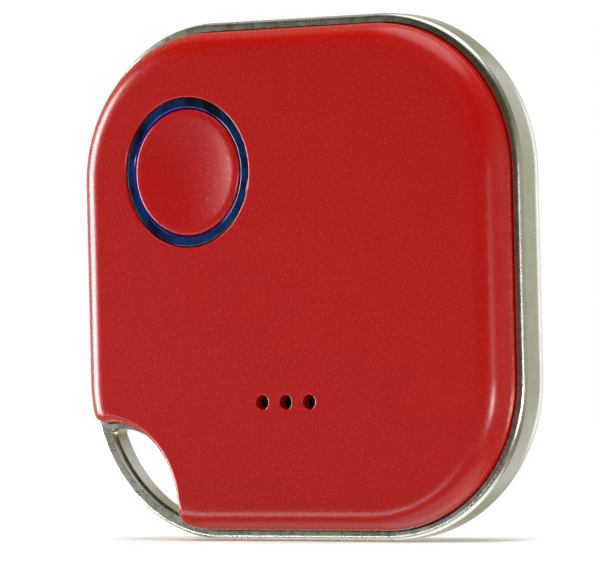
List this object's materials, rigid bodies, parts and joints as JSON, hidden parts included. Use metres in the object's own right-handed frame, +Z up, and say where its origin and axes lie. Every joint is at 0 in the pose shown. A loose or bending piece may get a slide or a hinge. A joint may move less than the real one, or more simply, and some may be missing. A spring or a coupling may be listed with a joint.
{
  "type": "bluetooth tracker tag",
  "caption": "Square wireless tag with a lit push button, sound holes, a corner key loop and a coin cell behind a snap-in back cover.",
  "frame": {"origin": "centre of the flat back cover, the face that is stuck or clipped to a wall", "axes": "+Z up, +X to the right seen from the front, +Y out of the back; the button looks along -Y"},
  "size_m": [0.036, 0.006, 0.036],
  "materials": {
    "red_plastic": "fine spark-textured red ABS",
    "satin_plate": "satin nickel plate",
    "back_plastic": "fine matte white ABS",
    "blue_lens": "glossy dark blue light guide",
    "steel": "stamped",
    "black_plastic": "moulded",
    "led_resin": "clear resin over white",
    "board_laminate": "green solder mask",
    "ceramic": "fired",
    "foam": "closed-cell foam",
    "gold_plate": "gold-plated spring strip",
    "cell_steel": "fine brushed stainless steel"
  },
  "bodies": {
    "back": {"back_cover": "back_plastic"},
    "case": {"front_cover": "red_plastic", "frame": "satin_plate", "light_ring": "blue_lens", "switch_body": "steel", "led_1": "led_resin", "led_2": "led_resin", "led_3": "led_resin", "led_4": "led_resin", "circuit_board": "board_laminate", "radio_chip": "black_plastic", "radio_crystal": "steel", "chip_antenna": "ceramic", "inductor": "black_plastic", "reservoir_capacitor": "ceramic", "sounder_driver": "black_plastic", "capacitor_1": "ceramic", "capacitor_2": "ceramic", "capacitor_3": "ceramic", "sounder": "black_plastic", "sound_seal": "foam", "cell_holder": "black_plastic", "positive_contact": "gold_plate", "negative_contact": "gold_plate"},
    "button": {"button_cap": "red_plastic", "switch_plunger": "black_plastic"},
    "coin_cell": {"cell_can": "cell_steel", "cell_seal": "black_plastic", "cell_cap": "cell_steel"}
  },
  "joints": [
    {"name": "case_release", "type": "slide", "parent": "back", "child": "case", "axis": [0, -1, 0], "range_m": [0, 0.012]},
    {"name": "cell_release", "type": "slide", "parent": "back", "child": "coin_cell", "axis": [0, -1, 0], "range_m": [0, 0.006]},
    {"name": "button_press", "type": "slide", "parent": "case", "child": "button", "axis": [0, 1, 0], "range_m": [0, 0.00022], "stiffness_N_per_m": 500, "springref_m": -0.0002}
  ],
  "couplings": [
    {"joint": "cell_release", "follows": "case_release", "ratio": 0.5}
  ]
}
